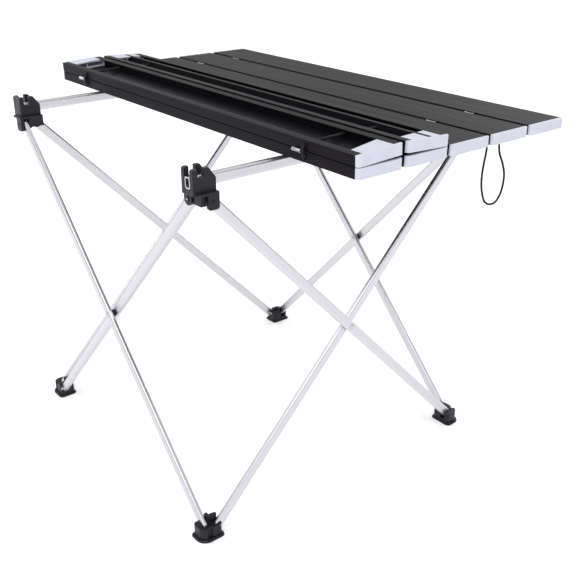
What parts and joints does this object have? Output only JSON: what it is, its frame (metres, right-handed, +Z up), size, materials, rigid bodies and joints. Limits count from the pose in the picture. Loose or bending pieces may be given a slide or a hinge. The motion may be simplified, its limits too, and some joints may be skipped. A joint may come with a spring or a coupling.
{
  "type": "folding side table",
  "caption": "Roll-top folding side table: channel slats on a square frame of crossed legs and crossbars, with the end slats folded back over the top.",
  "frame": {"origin": "on the floor, under the middle of the table's bounding box", "axes": "+X along the slats, +Y towards the far edge of the top, +Z up"},
  "size_m": [0.575, 0.4116, 0.4272],
  "materials": {
    "black_anodised": "black anodised, fine extrusion lines",
    "cap_plastic": "pale grey moulded, satin",
    "cord": "braided",
    "bare_aluminium": "turned",
    "black_plastic": "moulded nylon, fine texture",
    "rivet_steel": "plain",
    "leg_aluminium": "satin anodised"
  },
  "bodies": {
    "hub_near_right": {"hub_near_right": "black_plastic", "hub_near_right_rivets": "rivet_steel"},
    "hub_near_left": {"hub_near_left": "black_plastic", "hub_near_left_rivets": "rivet_steel"},
    "hub_far_right": {"hub_far_right": "black_plastic", "hub_far_right_rivets": "rivet_steel"},
    "hub_far_left": {"hub_far_left": "black_plastic", "hub_far_left_rivets": "rivet_steel"},
    "foot_near_left": {"foot_near_left": "black_plastic", "foot_near_left_rivets": "rivet_steel"},
    "foot_near_right": {"foot_near_right": "black_plastic", "foot_near_right_rivets": "rivet_steel"},
    "foot_far_right": {"foot_far_right": "black_plastic", "foot_far_right_rivets": "rivet_steel"},
    "foot_far_left": {"foot_far_left": "black_plastic", "foot_far_left_rivets": "rivet_steel"},
    "leg_near_outer": {"leg_near_outer": "leg_aluminium"},
    "leg_near_inner": {"leg_near_inner": "leg_aluminium", "cross_pivot_near": "black_plastic"},
    "leg_right_outer": {"leg_right_outer": "leg_aluminium", "cross_pivot_right": "black_plastic"},
    "leg_right_inner": {"leg_right_inner": "leg_aluminium"},
    "leg_far_outer": {"leg_far_outer": "leg_aluminium", "cross_pivot_far": "black_plastic"},
    "leg_far_inner": {"leg_far_inner": "leg_aluminium"},
    "leg_left_outer": {"leg_left_outer": "leg_aluminium"},
    "leg_left_inner": {"leg_left_inner": "leg_aluminium", "cross_pivot_left": "black_plastic"},
    "crossbar_right": {"crossbar_right": "leg_aluminium"},
    "crossbar_left": {"crossbar_left": "leg_aluminium"},
    "slat_1": {"slat_1": "black_anodised", "slat_1_caps": "cap_plastic", "slat_1_cords": "cord", "seam_1_barrels": "bare_aluminium"},
    "slat_2": {"slat_2": "black_anodised", "slat_2_caps": "cap_plastic", "slat_2_cords": "cord", "seam_2_barrels": "bare_aluminium", "tie_cord": "cord"},
    "slat_3": {"slat_3": "black_anodised", "slat_3_caps": "cap_plastic", "slat_3_cords": "cord", "seam_3_barrels": "bare_aluminium"},
    "slat_4": {"slat_4": "black_anodised", "slat_4_caps": "cap_plastic", "slat_4_cords": "cord", "seam_4_barrels": "bare_aluminium"},
    "slat_5": {"slat_5": "black_anodised", "slat_5_caps": "cap_plastic", "slat_5_cords": "cord", "seam_5_barrels": "bare_aluminium"},
    "slat_6": {"slat_6": "black_anodised", "slat_6_caps": "cap_plastic", "slat_6_cords": "cord", "seam_6_barrels": "bare_aluminium"},
    "slat_7": {"slat_7": "black_anodised", "slat_7_caps": "cap_plastic", "slat_7_cords": "cord"}
  },
  "joints": [
    {"name": "frame_fold", "type": "hinge", "parent": "hub_near_right", "child": "leg_near_inner", "pos_m": [0.177, -0.18555, 0.3795], "axis": [0, -1, 0], "range_deg": [0, 36]},
    {"name": "near_cross", "type": "hinge", "parent": "leg_near_inner", "child": "leg_near_outer", "pos_m": [0, -0.18965, 0.1959], "axis": [0, 1, 0], "range_deg": [0, 72]},
    {"name": "hub_near_left_turn", "type": "hinge", "parent": "leg_near_outer", "child": "hub_near_left", "pos_m": [-0.177, -0.19375, 0.3795], "axis": [0, -1, 0], "range_deg": [0, 36]},
    {"name": "foot_near_left_turn", "type": "hinge", "parent": "leg_near_inner", "child": "foot_near_left", "pos_m": [-0.177, -0.18555, 0.0123], "axis": [0, 1, 0], "range_deg": [0, 36]},
    {"name": "foot_near_right_turn", "type": "hinge", "parent": "leg_near_outer", "child": "foot_near_right", "pos_m": [0.177, -0.19375, 0.0123], "axis": [0, -1, 0], "range_deg": [0, 36]},
    {"name": "right_swing", "type": "hinge", "parent": "hub_near_right", "child": "leg_right_outer", "pos_m": [0.192, -0.17875, 0.3795], "axis": [-1, 0, 0], "range_deg": [0, 36]},
    {"name": "right_cross", "type": "hinge", "parent": "leg_right_outer", "child": "leg_right_inner", "pos_m": [0.1879, -0.00175, 0.1959], "axis": [1, 0, 0], "range_deg": [0, 72]},
    {"name": "hub_far_right_turn", "type": "hinge", "parent": "leg_right_inner", "child": "hub_far_right", "pos_m": [0.1838, 0.17525, 0.3795], "axis": [-1, 0, 0], "range_deg": [0, 36]},
    {"name": "foot_far_right_turn", "type": "hinge", "parent": "leg_right_outer", "child": "foot_far_right", "pos_m": [0.192, 0.17525, 0.0123], "axis": [1, 0, 0], "range_deg": [0, 36]},
    {"name": "left_swing", "type": "hinge", "parent": "hub_near_left", "child": "leg_left_inner", "pos_m": [-0.1838, -0.17875, 0.3795], "axis": [-1, 0, 0], "range_deg": [0, 36]},
    {"name": "left_cross", "type": "hinge", "parent": "leg_left_inner", "child": "leg_left_outer", "pos_m": [-0.1879, -0.00175, 0.1959], "axis": [1, 0, 0], "range_deg": [0, 72]},
    {"name": "hub_far_left_turn", "type": "hinge", "parent": "leg_left_outer", "child": "hub_far_left", "pos_m": [-0.192, 0.17525, 0.3795], "axis": [-1, 0, 0], "range_deg": [0, 36]},
    {"name": "foot_far_left_turn", "type": "hinge", "parent": "leg_left_inner", "child": "foot_far_left", "pos_m": [-0.1838, 0.17525, 0.0123], "axis": [1, 0, 0], "range_deg": [0, 36]},
    {"name": "far_swing", "type": "hinge", "parent": "hub_far_right", "child": "leg_far_outer", "pos_m": [0.177, 0.19025, 0.3795], "axis": [0, -1, 0], "range_deg": [0, 36]},
    {"name": "far_cross", "type": "hinge", "parent": "leg_far_outer", "child": "leg_far_inner", "pos_m": [0, 0.18615, 0.1959], "axis": [0, 1, 0], "range_deg": [0, 72]},
    {"name": "crossbar_right_swing", "type": "hinge", "parent": "hub_far_right", "child": "crossbar_right", "pos_m": [0.185, 0.18425, 0.3972], "axis": [-1, 0, 0], "range_deg": [0, 90]},
    {"name": "crossbar_left_swing", "type": "hinge", "parent": "hub_near_left", "child": "crossbar_left", "pos_m": [-0.185, -0.18775, 0.3972], "axis": [1, 0, 0], "range_deg": [0, 90]},
    {"name": "top_lift", "type": "slide", "parent": "hub_near_right", "child": "slat_5", "axis": [0, 0, 1], "range_m": [0, 0.7541]},
    {"name": "seam_4", "type": "hinge", "parent": "slat_5", "child": "slat_4", "pos_m": [0, -0.03175, 0.4138], "axis": [1, 0, 0], "range_deg": [-4, 0]},
    {"name": "seam_3", "type": "hinge", "parent": "slat_4", "child": "slat_3", "pos_m": [0, 0.02825, 0.4138], "axis": [1, 0, 0], "range_deg": [0, 90]},
    {"name": "seam_2", "type": "hinge", "parent": "slat_3", "child": "slat_2", "pos_m": [0, 0.08825, 0.4138], "axis": [1, 0, 0], "range_deg": [0, 90]},
    {"name": "seam_1", "type": "hinge", "parent": "slat_2", "child": "slat_1", "pos_m": [0, 0.14825, 0.4138], "axis": [1, 0, 0], "range_deg": [0, 176]},
    {"name": "seam_5", "type": "hinge", "parent": "slat_5", "child": "slat_6", "pos_m": [0, -0.09175, 0.4138], "axis": [1, 0, 0], "range_deg": [0, 177.4]},
    {"name": "seam_6", "type": "hinge", "parent": "slat_6", "child": "slat_7", "pos_m": [0, -0.03181, 0.41652], "axis": [1, 0, 0], "range_deg": [0, 5.2]}
  ],
  "couplings": [
    {"joint": "near_cross", "follows": "frame_fold", "ratio": 2},
    {"joint": "hub_near_left_turn", "follows": "frame_fold", "ratio": 1},
    {"joint": "foot_near_left_turn", "follows": "frame_fold", "ratio": 1},
    {"joint": "foot_near_right_turn", "follows": "frame_fold", "ratio": 1},
    {"joint": "right_swing", "follows": "frame_fold", "ratio": 1},
    {"joint": "right_cross", "follows": "frame_fold", "ratio": 2},
    {"joint": "hub_far_right_turn", "follows": "frame_fold", "ratio": 1},
    {"joint": "foot_far_right_turn", "follows": "frame_fold", "ratio": 1},
    {"joint": "left_swing", "follows": "frame_fold", "ratio": 1},
    {"joint": "left_cross", "follows": "frame_fold", "ratio": 2},
    {"joint": "hub_far_left_turn", "follows": "frame_fold", "ratio": 1},
    {"joint": "foot_far_left_turn", "follows": "frame_fold", "ratio": 1},
    {"joint": "far_swing", "follows": "frame_fold", "ratio": 1},
    {"joint": "far_cross", "follows": "frame_fold", "ratio": 2},
    {"joint": "crossbar_right_swing", "follows": "frame_fold", "ratio": 2.5},
    {"joint": "crossbar_left_swing", "follows": "frame_fold", "ratio": 2.5},
    {"joint": "top_lift", "follows": "frame_fold", "m_per_rad": 1.2},
    {"joint": "seam_4", "follows": "frame_fold", "ratio": -0.11111},
    {"joint": "seam_6", "follows": "seam_5", "ratio": 0.029312}
  ]
}
